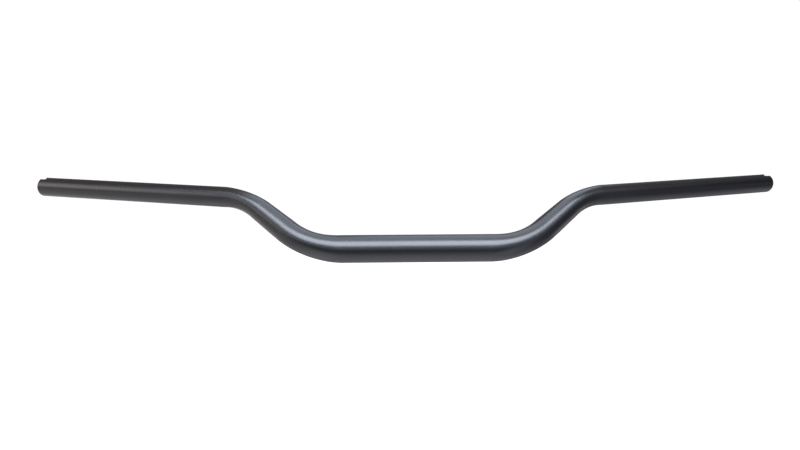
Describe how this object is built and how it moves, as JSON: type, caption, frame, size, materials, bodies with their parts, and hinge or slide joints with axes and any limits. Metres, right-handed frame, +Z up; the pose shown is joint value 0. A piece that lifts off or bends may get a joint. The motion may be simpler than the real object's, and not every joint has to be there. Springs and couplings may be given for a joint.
{
  "type": "motorcycle handlebar",
  "caption": "Bare tapered motorcycle handlebar: one bent satin black tube, thick at the clamps, with swept-back grip ends, each keyed by a slot over a threaded bush.",
  "frame": {"origin": "on the axis of the clamp section, midway between the two bar clamps that hold the bar", "axes": "+X along the clamp section towards the rider's left hand, +Y towards the rider, +Z up, with the uprights leaning back as they do on the machine"},
  "size_m": [0.8862, 0.1382, 0.0983],
  "materials": {
    "anodised_aluminium": "satin dark grey anodising, a little duller on the grip sections",
    "plated_steel": "dull zinc plating"
  },
  "bodies": {
    "root": {"handlebar_tube": "anodised_aluminium", "left_end_bush": "plated_steel", "right_end_bush": "plated_steel"}
  },
  "joints": []
}
